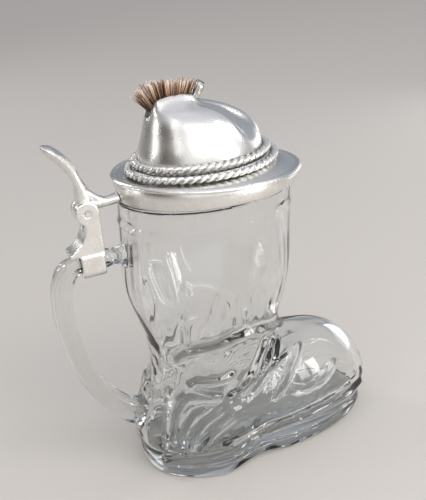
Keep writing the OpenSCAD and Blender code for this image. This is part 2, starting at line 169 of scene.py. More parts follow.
def makeGlass():
    # Soda-lime glass, blown in a mould and fire polished: clear, with a faint grey depth in its edges
    material, tree = newMaterial("sodaLimeGlass")
    shader = add(tree, "ShaderNodeBsdfPrincipled", {
        "Base Color": hexColor("#FCFDFD"), "Roughness": 0.0, "IOR": 1.52, "Transmission Weight": 1.0})
    clear = add(tree, "ShaderNodeBsdfTransparent", {"Color": hexColor("#9AA0A0")})
    ray = add(tree, "ShaderNodeLightPath")
    # lamps reach the floor through the glass, each surface taking a share, so its shadow is soft
    mix = add(tree, "ShaderNodeMixShader", {0: ray.outputs["Is Shadow Ray"], 1: shader, 2: clear})
    depth = add(tree, "ShaderNodeVolumeAbsorption", {"Color": hexColor("#CACBC9"), "Density": 15.0})
    add(tree, "ShaderNodeOutputMaterial", {"Surface": mix, "Volume": depth})
    return material


def makePewter():
    # Cast pewter, polished bright: soft white metal with faint cloudy wear, darker in the hollows with tarnish and
    # painted shade
    material, tree = newMaterial("polishedPewter")
    cloudMm, grainMm = 9.0, 0.9
    where = add(tree, "ShaderNodeTexCoord").outputs["Object"]
    cloud = add(tree, "ShaderNodeTexNoise", {
        "Vector": where, "Scale": 1 / (cloudMm * mm), "Detail": 4.0, "Roughness": 0.6})
    grain = add(tree, "ShaderNodeTexNoise", {"Vector": where, "Scale": 1 / (grainMm * mm), "Detail": 3.0})
    hollowShadeTarnish = add(tree, "ShaderNodeAttribute", attribute_name="hollowShadeTarnish")
    wear = add(tree, "ShaderNodeMapRange", {
        "Value": cloud.outputs["Fac"], "From Min": 0.35, "From Max": 0.7})
    metal = add(tree, "ShaderNodeMixRGB", {
        "Fac": wear, "Color1": hexColor("#EBEAE7"), "Color2": hexColor("#DFDDD9")})
    # tarnish and painted shade: the hollows' attribute mixes the metal towards a darker grey
    tarnishShade = add(tree, "ShaderNodeMixRGB", {
        "Fac": hollowShadeTarnish.outputs["Fac"], "Color1": metal, "Color2": hexColor("#8A8680")})
    rough = add(tree, "ShaderNodeMapRange", {
        "Value": cloud.outputs["Fac"], "From Min": 0.3, "From Max": 0.75, "To Min": 0.24, "To Max": 0.33})
    bump = add(tree, "ShaderNodeBump", {"Height": grain.outputs["Fac"], "Strength": 0.02, "Distance": 0.05 * mm})
    shader = add(tree, "ShaderNodeBsdfPrincipled", {
        "Base Color": tarnishShade, "Metallic": 1.0, "Roughness": rough, "Normal": bump})
    add(tree, "ShaderNodeOutputMaterial", {"Surface": shader})
    return material


def makePinSteel():
    # Drawn steel wire, cut and ground flush: grey, with an uneven shine from the grinding
    material, tree = newMaterial("drawnSteel")
    grainMm = 0.4
    where = add(tree, "ShaderNodeTexCoord").outputs["Object"]
    grain = add(tree, "ShaderNodeTexNoise", {"Vector": where, "Scale": 1 / (grainMm * mm), "Detail": 3.0})
    rough = add(tree, "ShaderNodeMapRange", {"Value": grain.outputs["Fac"], "To Min": 0.25, "To Max": 0.42})
    shader = add(tree, "ShaderNodeBsdfPrincipled", {
        "Base Color": hexColor("#DCDBD8"), "Metallic": 1.0, "Roughness": rough})
    add(tree, "ShaderNodeOutputMaterial", {"Surface": shader})
    return material


def makeBristle():
    # Natural bristle: stiff glossy hair, dark at the root, tan along its length and bleached at the tip
    material, tree = newMaterial("naturalBristle")
    along = add(tree, "ShaderNodeAttribute", attribute_name="along")
    tone = add(tree, "ShaderNodeAttribute", attribute_name="tone")
    dark, pale = ("#20150E", "#3C2A1F", "#6E523C", "#A48468"), ("#4A3526", "#8A6C52", "#CBAA90", "#F6E7DC")
    middle = (0.5, 0.78)  # where the two inner colours lie along the hair
    tones = []
    for codes in (dark, pale):
        tones.append(add(tree, "ShaderNodeValToRGB", {"Fac": along.outputs["Fac"]}))
        stops = tones[-1].color_ramp.elements
        stops[0].position, stops[1].position = 0.0, 1.0
        for position in middle:
            stops.new(position)
        for stop, code in zip(stops, codes):
            stop.color = hexColor(code)
    color = add(tree, "ShaderNodeMixRGB", {"Fac": tone.outputs["Fac"], "Color1": tones[0], "Color2": tones[1]})
    shader = add(tree, "ShaderNodeBsdfPrincipled", {"Base Color": color, "Roughness": 0.42, "IOR": 1.55})
    add(tree, "ShaderNodeOutputMaterial", {"Surface": shader})
    return material


glass = makeGlass()
pewter = makePewter()
pinSteel = makePinSteel()
bristleHair = makeBristle()
print("materials made:", len(bpy.data.materials))


# Glass boot: the same cross rows as the solid, with the creases of a leather boot pressed into its outside

boot = {
    "around": 340, "footRings": 164, "legRings": 58, "innerRings": 50, "sideShare": 0.35,
    "rimZ": 149.6, "mouthR": 45.0, "calfR": 44.7, "ankleR": 35.2, "ankleBack": 6.2, "calfBack": 5.0, "calfAt": 0.47,
    "toeReach": 81.5, "heelReach": 55.6, "heelW": 82.0, "ballW": 65.0, "ballFrom": -0.6, "waistIn": 5.0,
    "waistAt": -0.13, "waistHalf": 0.26, "archH": 2.4, "archFade": 9.0, "archAt": -0.16, "archHalf": 0.36,
    "footRound": 0.8, "wall": 4.0, "soleT": 8.0, "ankleZ": 65.0, "rimRound": 1.2, "rimSteps": 5, "rimShort": 0.08,
    "samples": 300, "ankleRow": 14, "floorRow": 3.5, "floorAbove": 0.5,
    "floorSteps": ((0.3, 0.4), (1.0, 0.7), (2.5, 0.9), (6, 1), (14, 1.0)),
}
# insets from the heel's back and the toe's tip with heights, then changes of width
footShape = [
    (6.6, 0.0, 15.5, 0.0, -0.8, -3.2, 1.0),
    (2.9, 1.1, 8.0, 2.0, 0.9, -0.1, 1.0),
    (1.8, 5.4, 4.2, 6.8, 0.8, 0.5, 1.0),
    (2.2, 8.4, 4.6, 9.6, -1.6, -1.0, 1.0),
    (0.3, 14.0, 0.25, 22.0, -0.6, 0.8, 0.8),
    (0.0, 18.5, 1.0, 31.0, -1.0, 0.2, 0.6),
    (0.4, 22.5, 5.6, 42.0, -1.6, -1.5, 0.5),
    (1.2, 26.0, 12.8, 50.0, -2.2, -3.5, 0.4),
    (2.4, 29.5, 21.0, 54.8, -2.8, -5.5, 0.3),
    (4.2, 33.2, 30.0, 56.6, -3.4, -6.0, 0.2),
    (6.4, 37.2, 38.6, 55.8, -4.0, -5.0, 0.1),
    (9.2, 41.8, 45.4, 54.2, -4.6, -3.5, 0.0)]
# below the ankle: added to the ankle's back, front, heights and half widths, then the roundness
ankleShape = [(-1.6, -18.5, 2.6, -11.4, 0.4, -3, 0.9), (-0.2, -9.5, 0.3, -7, 0.6, -0.5, 1)]
calfShape = [(0, 0), (0.28, 0.2), (0.6, 0.62), (1, 1)]  # share of the height and of the change in radius
mouthShape = [(0.4, 0.42), (0.78, 0.75), (1, 1)]
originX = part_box("glass_boot")[1][0] / mm - boot["toeReach"]  # the mouth's axis in the frame


def bootRows():
    b = boot
    rows = [(f[0] - b["heelReach"], f[1], b["toeReach"] - f[2], f[3], b["heelW"] / 2 + f[4],
             b["ballW"] / 2 + f[5], b["waistIn"] * f[6], b["footRound"]) for f in footShape]
    r, z, back = b["ankleR"], b["ankleZ"], -b["ankleBack"]
    rows += [(back - r + f[0], z + f[1], back + r + f[2], z + f[3], r + f[4], r + f[5], 0, f[6])
             for f in ankleShape]
    calfZ = z + b["calfAt"] * (b["rimZ"] - z)
    for f, g in calfShape:
        rows.append(legRow(z + f * (calfZ - z), back + g * (b["ankleBack"] - b["calfBack"]),
                           r + g * (b["calfR"] - r), 1))
    for f, g in mouthShape:
        rows.append(legRow(calfZ + f * (b["rimZ"] - calfZ), -b["calfBack"] * (1 - g),
                           b["calfR"] + g * (b["mouthR"] - b["calfR"]), 1 - f))
    return np.array(rows, float)


def legRow(z, x, r, dip):  # a round row, its back lower by the dip
    return (x - r, z - dip, x + r, z, r, r, 0, 1)


def bootRings(rows, lift=None):
    a = roundAngles(boot["around"])
    a = a + boot["sideShare"] * np.sin(2 * a) / 2  # points lie closer on the two sides
    u, v = np.cos(a), np.sin(a)
    col = [rows[:, k:k + 1] for k in range(8)]
    waist = bell((u - boot["waistAt"]) / boot["waistHalf"])
    side = col[4] + (col[5] - col[4]) * ease(u - boot["ballFrom"]) - col[6] * waist
    x = (col[0] + col[2]) / 2 + (col[2] - col[0]) / 2 * u
    y = side * np.sign(v) * np.abs(v) ** col[7]
    z = (col[1] + col[3]) / 2 + (col[3] - col[1]) / 2 * u
    if lift is not None:
        k = (u - boot["archAt"]) / boot["archHalf"]
        z = z + lift[:, None] * np.where(np.abs(k) < 1, (1 - k * k) ** 2, 0)
    return np.stack([x + originX, y, z], axis=-1)


def innerRow(rows, s, extra=0.0, drop=0.0):  # moved in by the wall, square to the back and front outlines
    last = len(rows) - 1
    row = smoothRows(rows, [s])[0]
    d = smoothRows(rows, [min(s + 0.1, last)])[0] - smoothRows(rows, [s - 0.1])[0]
    t = boot["wall"] + extra
    back = np.array([d[1], -d[0]]) / math.hypot(d[0], d[1]) * t
    front = np.array([-d[3], d[2]]) / math.hypot(d[2], d[3]) * t
    return np.array([row[0] + back[0], row[1] + back[1] - drop, row[2] + front[0], row[3] + front[1] - drop,
                     row[4] - t, row[5] - t, row[6], row[7]])


# Creases on both sides of the boot: points of x and height in mm, then height and width of the ridge,
# and its share on the far side where that differs
creases = [
    ([(-29, 67), (-26, 72.5), (-20, 75), (-13.4, 76), (-8, 78), (-3, 80), (5.5, 80.3), (13.7, 77.5), (20, 75),
      (27, 72)], 2.0, 1.9, 0.15),  # fold round the ankle
    ([(-6, 57), (-13, 55.6), (-19, 55.4), (-23.6, 55.2), (-25.8, 53.2), (-24, 50.8), (-20, 48.6), (-14, 46.4)],
     1.3, 1.3),
    ([(-15.4, 44.4), (-21.3, 45.6), (-27, 45.4), (-30.5, 43.5), (-33.5, 39.5), (-36, 33.5), (-38, 27), (-40.5, 18)],
     1.3, 1.4),
    ([(-21, 41), (-27, 38), (-31.5, 32.5), (-35, 25.5), (-37.8, 17)], 0.9, 1.2),
    ([(-15, 37), (-22, 34), (-27, 28.5), (-31, 22), (-34, 15)], 0.8, 1.2),
    ([(-8, 31), (-15, 28.5), (-21.5, 24), (-27, 18)], 0.7, 1.2),
    ([(15, 69), (9, 60), (4, 53), (-1, 47.5), (-7, 44.5)], 1.3, 1.3),  # slanting folds on the instep
    ([(21, 65), (16, 57), (11, 51), (6, 46.5), (0, 43)], 1.2, 1.3),
    ([(27, 60), (22, 52), (17, 47), (12, 43.5), (6, 40.5)], 1.0, 1.2),
    ([(-35, 48), (-37.8, 43), (-39.8, 36), (-41.7, 29), (-43.2, 19), (-44, 9)], 1.1, 0.9),  # heel counter
    ([(41, 56), (35, 49.5), (30.5, 45), (28, 41), (24, 37.5), (18, 34)], 1.2, 1.2),  # toe cap
    ([(29, 34), (36, 32.3), (44, 32.3), (51.6, 34.8), (57, 39)], 0.9, 1.4),
    ([(-43, 10.5), (-30, 10.0), (-15, 11.2), (0, 13.5), (15, 15.5), (31, 16.4), (48, 17), (63, 18), (76, 20)],
     0.9, 0.9),  # lines along the sole
    ([(-10, 16), (5, 18.5), (20, 20.5), (36, 21.5), (52, 22.5), (66, 24)], 0.6, 1.0),
    ([(-1.7, 108), (-2.6, 98.8), (-2.7, 87)], 0.4, 1.2, 0.25),  # strands of the tassel on the leg
    ([(2, 107), (2.9, 97), (4.1, 85)], 0.4, 1.2, 0.25),
    ([(10, 113), (7.1, 104.3), (5.1, 93)], 0.4, 1.2, 0.25),
    ([(-35.9, 121), (-35.5, 115), (-34.1, 109.4), (-33.2, 105)], 0.7, 1.4),  # long creases behind
    ([(-25.5, 111), (-25, 104.4), (-24.1, 97)], 0.6, 1.3),
    ([(-27.2, 95), (-26.9, 86), (-26.5, 76)], 0.6, 1.3),
]
cuff = {"z": 137.3, "height": 1.0, "width": 0.8}
bosses = [  # x, z, half width, half height and height of the oval knots below the cuff
    (14.2, 119.6, 4.4, 6.2, 1.8), (-1.0, 113.5, 4.2, 6.6, 1.6)]
relief = {  # pairs say where a fade starts and how far it runs
    "creaseScale": 2.2, "creaseWiden": 1.3, "farShare": 0.5, "facing": (0.12, 0.3), "bossEdge": (1.15, -0.35),
    "leatherMm": 9.5, "leatherH": 0.42, "leatherStretch": (1.0, 0.7, 1.25), "leatherSharp": 2.4,
    "leatherLeast": -0.6, "leatherTop": (78, -14), "leatherLow": (13, 8), "capX": (27, 6), "capZ": (31, 5),
    "bendTimes": 2.2, "bendBy": (5.0, 5.0, 9.0), "outerWave": 0.2, "outerTimes": 0.6, "outerStretch": 0.35,
    "soleFade": (2.0, 4.0), "rimFade": (146.5, -3.0), "endFade": 7.0,
    "waveMm": 15.0, "innerWave": 0.55, "innerStretch": 0.5, "innerTop": (144, -8),
    "ribMm": 6.5, "innerRib": 0.4, "ribStretch": 0.22, "clearX": -9.0, "flank": (12.0, 8.0), "flankLow": (70, 12),
}


def lineDistance(x, z, points):  # from each point to a run of straight lines
    best = np.full(x.shape, 1e9)
    for (ax, az), (bx, bz) in zip(points, points[1:]):
        dx, dz = bx - ax, bz - az
        t = np.clip(((x - ax) * dx + (z - az) * dz) / (dx * dx + dz * dz), 0, 1)
        best = np.minimum(best, np.hypot(x - ax - t * dx, z - az - t * dz))
    return best


def gridNormals(rings):
    along = np.gradient(rings, axis=0)
    across = np.roll(rings, -1, axis=1) - np.roll(rings, 1, axis=1)
    normal = np.cross(across, along)
    return normal / np.maximum(np.linalg.norm(normal, axis=-1, keepdims=True), 1e-9)


def wave(points, size, seed):  # soft unevenness, in -1 to 1
    shift = Vector((seed * 7.3, seed * 3.1, seed * 5.7))
    flat = [noise.noise(Vector(p) / size + shift) for p in points.reshape(-1, 3).tolist()]
    return np.array(flat).reshape(points.shape[:2])


def pressCreases(rings):  # the outside with its folds, cuff, knots and leather
    p = relief
    normal = gridNormals(rings)
    x, z = rings[..., 0], rings[..., 2]
    facing = ramp(np.abs(normal[..., 1]), *p["facing"])

    def sides(share):  # full on the near side, a share of it on the far one
        return facing * np.where(normal[..., 1] > 0, share, 1.0)

    push = np.zeros(x.shape)
    for points, height, width, *far in creases:
        ridge = bell(lineDistance(x, z, points) / (p["creaseWiden"] * width))
        push += p["creaseScale"] * height * sides(far[0] if far else p["farShare"]) * ridge
    push += cuff["height"] * bell((z - cuff["z"]) / cuff["width"])
    for bx, bz, halfW, halfH, height in bosses:
        push += height * sides(p["farShare"]) * ramp(np.hypot((x - bx) / halfW, (z - bz) / halfH), *p["bossEdge"])
    cap = ramp(x, *p["capX"]) * ramp(z, *p["capZ"])  # the toe cap is smooth
    foot = ramp(z, *p["leatherTop"]) * ramp(z, *p["leatherLow"]) * (1 - cap)
    bend = wave(rings, p["bendTimes"] * p["leatherMm"], 3)[..., None] * p["bendBy"]
    folds = 1 - p["leatherSharp"] * np.abs(wave(rings * p["leatherStretch"] + bend, p["leatherMm"], 4))
    push += p["leatherH"] * foot * np.maximum(folds, p["leatherLeast"])
    push += p["outerWave"] * wave(rings * (1, 1, p["outerStretch"]), p["waveMm"] * p["outerTimes"], 1)
    low, high = boxMm("glass_boot")
    flat = ramp(z, *p["soleFade"]) * ramp(z, *p["rimFade"])  # the sole and the rim stay true
    flat *= ramp(x, high[0], -p["endFade"]) * ramp(x, low[0], p["endFade"])
    return np.clip(rings + normal * (push * flat)[..., None], low, high)


def rippleInside(rings):  # uneven inside, rippled up and down on the leg's flanks and clear in the middle
    p = relief
    x, z = rings[..., 0], rings[..., 2]
    push = p["innerWave"] * wave(rings * (1, 1, p["innerStretch"]), p["waveMm"], 2)
    flank = ramp(np.abs(x - p["clearX"]), *p["flank"]) * ramp(z, *p["flankLow"])
    push += p["innerRib"] * flank * wave(rings * (1, 1, p["ribStretch"]), p["ribMm"], 5)
    return rings + gridNormals(rings) * (push * ramp(z, *p["innerTop"]))[..., None]


def makeBoot():
    b = boot
    rows = bootRows()
    ankle, top, floor = b["ankleRow"], len(rows) - 1 - b["rimShort"], b["floorRow"]
    foot, leg = np.linspace(0, ankle, b["footRings"], endpoint=False), np.linspace(ankle, top, b["legRings"])
    outerRows = smoothRows(rows, np.concatenate([foot, leg]))
    lift = b["archH"] * np.maximum(0, 1 - outerRows[:, 1] / b["archFade"])
    outer = pressCreases(bootRings(outerRows, lift))
    rr = b["rimRound"]
    edge = [(rr * (1 - math.cos(t)), rr * (1 - math.sin(t))) for t in np.radians(np.linspace(0, 90, b["rimSteps"]))]
    edge += [(b["wall"] - i, d) for i, d in reversed(edge)]
    lip = bootRings(np.array([legRow(b["rimZ"] - d, 0, b["mouthR"] - i, 0) for i, d in edge]))
    innerS = np.linspace(top, floor + b["floorAbove"], b["innerRings"])
    inner = rippleInside(bootRings(np.array([innerRow(rows, s) for s in innerS])))
    drop = smoothRows(rows, [floor])[0][1] - b["soleT"]
    base = bootRings(np.array([innerRow(rows, floor, inward, drop * share) for inward, share in b["floorSteps"]]))
    mesh = loftMesh("bootGlass", np.concatenate([outer, lip, inner, base]))
    return place(newObject("bootGlass", mesh, glass), "tankard", "glass_boot")


bootObject = makeBoot()
print("glass boot:", len(bootObject.data.polygons), "faces")


# Glass handle: a lightly fluted bar, its ends cut to the boot's surface

handle = {
    "around": 64, "rings": 190, "flute": -0.085, "ripple": 0.02, "waveMm": 9.0, "wave": 0.12,
    "gripT": 11.4, "gripW": 13.6, "gripOut": 17.7, "armDrop": 26.6, "armThinner": (0.8, 0.6),
    "rootZ": 31.0, "rootIn": 2.6, "endGap": 0.05, "endShrink": (0.02, 0.25, 0.5, 0.75, 0.92),
}
# the pin and the strap, from the mouth's axis
hinge = {"pinX": -63.5, "pinZ": 149.2, "strapBack": 1.4, "strapL": 12.0}


def backX(rows, y, z):  # the boot's back surface at a side distance and a height
    s = np.linspace(0, len(rows) - 1, boot["samples"])
    heights = smoothRows(rows, s)[:, 1]

    def rowAt(level):
        return smoothRows(rows, np.interp(level.ravel(), heights, s)).reshape(level.shape + (8,))

    def inset(row):
        return 1 - np.sqrt(np.maximum(0, 1 - (np.abs(y) / row[..., 4]) ** (2 / row[..., 7])))

    level = rowAt(z)
    row = rowAt(z - (level[..., 3] - level[..., 1]) / 2 * inset(level))
    return row[..., 0] + (row[..., 2] - row[..., 0]) / 2 * inset(row)


def handleRows(rows):  # place and half sizes along the bar, from the upper root to the heel
    h = handle
    armZ, rootZ = boot["rimZ"] - h["armDrop"], h["rootZ"]
    thick, wide = h["gripT"], h["gripW"]
    armA, armB = thick / 2 - h["armThinner"][0], wide / 2 - h["armThinner"][1]
    strapX, strapL = hinge["pinX"] - hinge["strapBack"], hinge["strapL"]
    reach = strapL / 2 - strapX + h["gripOut"]
    gripX = thick / 2 * (1 + h["flute"]) - reach
    armRoot, heelRoot = backX(rows, np.zeros(2), np.array([armZ, rootZ])).tolist()
    neckX = (armRoot + strapX + strapL / 2) / 2

    def grip(dx, f, a, b):
        return (gripX + dx, rootZ + f * (armZ - rootZ), thick / 2 * a, wide / 2 * b)

    return np.array([
        (armRoot + h["rootIn"], armZ - 1, armA * 1.4, armB * 1.2),
        (armRoot - 2.5, armZ - 0.5, armA, armB),
        (neckX - 0.5, armZ, armA * 0.82, armB * 0.9),
        (strapX + strapL / 2 + 1, armZ, armA, armB),
        *((strapX + share * strapL, armZ, armA, armB) for share in (0.25, 0.0, -0.25, -0.5)),
        (strapX - strapL / 2 - 3.2, armZ - 0.5, armA, armB),
        grip(4.6, 0.957, 1.04, 1), grip(1.1, 0.875, 1.02, 1), grip(0, 0.745, 1, 1), grip(0.9, 0.6, 0.98, 1),
        grip(4.6, 0.405, 1.0, 1.02), grip(10.4, 0.245, 1.02, 1.05), grip(18.2, 0.12, 1.06, 1.1),
        ((gripX + 18.2 + heelRoot) / 2 + 1, rootZ + 3.6, thick * 0.62, wide * 0.58),
        (heelRoot + h["rootIn"], rootZ, thick * 0.76, wide * 0.66)])


def barRings(rows, count, around, flute=0.0, ripple=0.0):  # a bar with four flutes and twelve fine ripples
    last = len(rows) - 1
    s = np.linspace(0, last, count)
    row = smoothRows(rows, s)
    d = smoothRows(rows, np.minimum(s + 0.05, last)) - smoothRows(rows, np.maximum(s - 0.05, 0))
    side = np.stack([d[:, 1], -d[:, 0]], axis=-1)
    side /= np.linalg.norm(side, axis=-1, keepdims=True)
    t = roundAngles(around)
    k = 1 + flute * np.cos(4 * t) - ripple * (1 + np.cos(12 * t))
    a, b = row[:, 2:3] * k * np.cos(t), row[:, 3:4] * k * np.sin(t)
    return np.stack([row[:, 0:1] + side[:, 0:1] * a, b, row[:, 1:2] + side[:, 1:2] * a], axis=-1)


def makeHandle():
    h = handle
    rows = bootRows()
    rings = barRings(handleRows(rows), h["rings"], h["around"], h["flute"], h["ripple"])

    def shrunk(ring, k):
        middle = (ring[0] + ring[len(ring) // 2]) / 2
        return middle + (ring - middle) * k

    first = [shrunk(rings[0], k) for k in h["endShrink"]]
    final = [shrunk(rings[-1], k) for k in reversed(h["endShrink"])]
    rings = np.concatenate([first, rings, final])
    rings = rings + gridNormals(rings) * (h["wave"] * (wave(rings, h["waveMm"], 5) - 1))[..., None]
    stop = backX(rows, rings[..., 1], rings[..., 2]) - h["endGap"]
    rings[..., 0] = np.minimum(rings[..., 0], stop) + originX
    rings = np.maximum(rings, boxMm("glass_handle")[0])
    mesh = loftMesh("handleGlass", rings)
    return place(newObject("handleGlass", mesh, glass), "tankard", "glass_handle")


handleObject = makeHandle()
print("glass handle:", len(handleObject.data.polygons), "faces")


# Cast pewter pieces: the solid's own form with the edges eased as a casting's are

casting = {
    "weldM": 1e-6, "voxelMm": 0.3, "strapRounds": 14, "liftRounds": 18, "clipRounds": 12,
    # two bars on the thumb lift: x and z from the pin, then half sizes
    "gusset": [(-1.0, 14.0, 1.8, 2.6), (2.2, 9.4, 2.2, 2.6), (6.0, 5.8, 2.2, 2.6), (11.0, 3.4, 1.6, 2.6)],
    "pad": [(-2.2, 19.0, 2.6, 2.6), (-4.0, 23.0, 3.0, 3.4), (-8.3, 29.2, 2.9, 5.2), (-12.3, 33.2, 2.7, 6.5),
            (-15.0, 34.8, 1.7, 4.8)], "barSides": 24, "clipTarnish": 0.75,
    "tabLean": 38.0, "tabBack": 1.6, "tabFront": 0.9, "tabT": 2.2, "tabFrom": 7.2, "tabRounds": 50,
}


def soften(shape, verts, rounds):
    for _ in range(rounds):
        bmesh.ops.smooth_vert(shape, verts=verts, factor=0.5, use_axis_x=True, use_axis_y=True, use_axis_z=True)


def castCopy(node, name, rounds, body, change=None, softer=None, tarnishShade=None):
    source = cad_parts[node].data.copy()
    shape = bmesh.new()
    shape.from_mesh(source)
    bmesh.ops.remove_doubles(shape, verts=shape.verts, dist=casting["weldM"])
    if change:
        change(shape)
    shape.to_mesh(source)
    shape.free()
    obj = newObject(name, source, pewter)
    remesh = obj.modifiers.new("voxels", "REMESH")
    remesh.mode = "VOXEL"
    remesh.voxel_size = casting["voxelMm"] * mm
    mesh = plainMesh(obj, name)
    shape = bmesh.new()
    shape.from_mesh(mesh)
    soften(shape, shape.verts, rounds)
    if softer:
        soften(shape, softer(shape), casting["tabRounds"])
    shape.to_mesh(mesh)
    shape.free()
    dressMetal(mesh, tarnishShade)
    return place(obj, body, node)


def tabVerts(shape):
    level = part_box("tuft_clip")[0][2] + casting["tabFrom"] * mm
    return [v for v in shape.verts if v.co.z > level]


def thickenTab(shape):  # the tab is as full as a casting: both faces move out
    lean = math.radians(casting["tabLean"])
    front = Vector((math.cos(lean), 0, -math.sin(lean)))
    tab = tabVerts(shape)
    middle = max(v.co.dot(front) for v in tab) - casting["tabT"] / 2 * mm
    for v in tab:
        behind = v.co.dot(front) < middle
        v.co += front * (-casting["tabBack"] if behind else casting["tabFront"]) * mm


def fillCorner(shape):  # a gusset between the thumb lift's lever and arm, and a full round pad
    for name in ("gusset", "pad"):
        rows = np.array(casting[name]) + (hinge["pinX"] + originX, hinge["pinZ"], 0, 0)
        mesh = loftMesh(name, barRings(rows, casting["barSides"], casting["barSides"]))
        shape.from_mesh(mesh)
        bpy.data.meshes.remove(mesh)


strapObject = castCopy("handle_strap", "strapCasting", casting["strapRounds"], "tankard")
liftObject = castCopy("thumb_lift", "thumbLiftCasting", casting["liftRounds"], "lid", fillCorner)
clipObject = castCopy("tuft_clip", "tuftClipCasting", casting["clipRounds"], "lid", thickenTab, tabVerts,
                      casting["clipTarnish"])  # the clip is left as cast
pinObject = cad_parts["hinge_pin"]
pinObject.data.materials.clear()
pinObject.data.materials.append(pinSteel)
print("castings:", ", ".join(o.name for o in (strapObject, liftObject, clipObject)))


# Lid: the rim with its band, flange and lip, then the hat

lid = {
    "around": 192, "lidR": 47.5, "shift": 2.2, "bandH": 9.0, "bandW": 3.0, "brimT": 1.7, "slope": 0.064,
    "flangeT": 2.5, "lipH": 2.4, "lipR": 40.2, "lipW": 2.0, "brimOver": 1.6, "seat": 0.02, "sharp": 50.0,
}
rimLow, rimHigh = boxMm("lid_rim")
lidX = (rimLow[0] + rimHigh[0]) / 2
lidZ = rimLow[2] + lid["lipH"]


def makeLidRim():
    k = lid
    r, lip, top, off = k["lidR"], k["lipR"], k["bandH"] - k["brimT"] - k["seat"], -k["shift"]
    bandR, inR, low, flange, slope = r - k["bandW"], lip - k["lipW"], -k["lipH"], k["flangeT"], k["slope"]
    # radius, height, centre, slope: round the section from the lip's inside, down, out and up
    section = [
        (inR, 0.0, off, 0), (inR, low + 0.5, off, 0), (inR + 0.5, low, off, 0), (lip - 0.5, low, off, 0),
        (lip, low + 0.5, off, 0), (lip, -0.25, off, 0), (lip + 0.25, 0.0, off, 0),
        (r - 1.4, 0.0, 0, 0), (r - 0.7, 0.08, 0, 0), (r - 0.2, 0.38, 0, 0), (r, 0.9, 0, 0),
        (r + 0.3, 2.4, 0, 0), (r + 0.5, 4.4, 0, slope * 0.5), (r + 0.58, top - 0.3, 0, slope),
        (r + 0.4, top, 0, slope), (bandR, top, 0, slope),
        (bandR, flange + 0.3, 0, 0), (bandR - 0.4, flange, 0, 0), (inR + 0.3, flange, off, 0),
        (inR, flange - 0.3, off, 0)]
    radius, z, centre, tilt = (column[:, None] for column in np.array(section, float).T)
    a = roundAngles(k["around"])
    x, y = centre + radius * np.cos(a), radius * np.sin(a)
    mesh = loftMesh("lidRimCasting", np.stack([lidX + x, y, lidZ + z - tilt * x], axis=-1), loop=True)
    mesh.set_sharp_from_angle(angle=math.radians(lid["sharp"]))
    return place(newObject("lidRimCasting", mesh, pewter), "lid", "lid_rim")


hat = {
    "around": 192, "steps": 7, "x": -2.0, "height": 46.6, "thick": 2.2, "baseRise": 2.4, "crownUp": 35.2,
    "lowIn": 11.9, "highIn": 15.5, "pinch": 0.2, "pinchTurn": 40.0, "pinchWidth": 18.0, "pinchEdge": (1.45, -0.9),
    "grooveD": 7.2, "grooveGap": 0.15, "clipL": 24.5, "collarRise": 2.4, "collarY": 5.6, "collarW": 2.5,
    "collarEnds": (2.0, 1.0), "collarFade": 5.0, "sharp": 40.0,
    "tarnishShade": 0.2, "tarnishShadeOut": (45, -6), "tarnishShadeTop": (19.5, -3), "tarnishShadeLow": (8, 2),
}


def hatRows():  # centre, two radii, height, slope and pinch, on the inside and the outside
    k, h = lid, hat
    r, brimR, bandH = k["lidR"], k["lidR"] + k["brimOver"], k["bandH"]
    top = bandH - k["brimT"]
    base = bandH + h["baseRise"]
    rise = (h["height"] - base) / h["crownUp"]
    low, high, x, slope = r - h["lowIn"], r - h["highIn"], h["x"], k["slope"]

    def ring(cx, radius, z, tilt):
        return (cx, radius, radius, z, tilt, 0)

    def crown(cx, shrink, flat, up, tilt, dent):
        return (cx, high - shrink, high - shrink - flat, base + up * rise, tilt, dent * h["pinch"])

    outer = [
        ring(0, r - k["bandW"], top, slope), ring(0, brimR - 0.5, top, slope),
        ring(0, brimR, bandH - k["brimT"] / 2, slope), ring(0, brimR - 0.6, bandH, slope),
        # a rolled edge and the groove inside it
        ring(0, brimR - 1.3, bandH + 0.45, slope), ring(-0.1, brimR - 2.3, bandH + 0.3, slope),
        ring(-0.3, brimR - 3.1, bandH - 0.1, slope * 0.9), ring(-0.6, brimR - 4.4, bandH + 0.35, slope * 0.8),
        ring(-1.5, brimR - 7.0, bandH + 1.0, slope * 0.45), ring(x, low + 2.4, bandH + 1.6, 0)]
    wall = [ring(x, low, base, 0), ring(x, low - 0.2, base + 2.6, 0),
            ring(x, high + 0.2, base + 3.6, 0), ring(x, high - 0.1, base + 8.0, 0),
            crown(-1.5, 0.8, 0.6, 12.5, 0, 0.1), crown(-1.5, 3.0, 1.4, 18.0, 0.03, 0.45),
            crown(-2.6, 6.4, 1.8, 24.0, 0.08, 1), crown(-5.6, 11.0, 2.2, 28.2, 0.07, 1),
            crown(-11.0, 16.8, 2.2, 31.4, 0.01, 0.6), crown(-13.1, 19.8, 3.0, 33.4, 0, 0.25),
            crown(-13.4, 22.8, 3.2, 34.7, 0, 0), crown(-12.6, 26.6, 1.5, 35.2, 0, 0)]

    def inside(row, down):
        return (row[0], row[1] - h["thick"], row[2] - h["thick"], row[3] - down, row[4], row[5])

    inner = [inside(crown(-8, 13.5, 2.4, 35.2, 0, 0.6), h["grooveD"] + h["thick"])]
    inner += [inside(row, h["thick"] * share) for row, share in zip(
        wall[6:0:-1] + outer[-1:], (1.2, 0.45, 0.3, 0.2, 0.8, 1.2, 1))]
    return np.array(inner, float), np.array(outer + wall, float)


def hatRings(rows):
    a = roundAngles(hat["around"])
    turn = np.degrees(np.minimum(a, 2 * math.pi - a))
    off = np.abs(turn - hat["pinchTurn"]) / hat["pinchWidth"]
    k = 1 - rows[:, 5:6] * ramp(off, *hat["pinchEdge"])
    x = rows[:, 0:1] + rows[:, 1:2] * k * np.cos(a)
    y = rows[:, 2:3] * k * np.sin(a)
    return np.stack([lidX + x, y, lidZ + rows[:, 3:4] - rows[:, 4:5] * x], axis=-1)


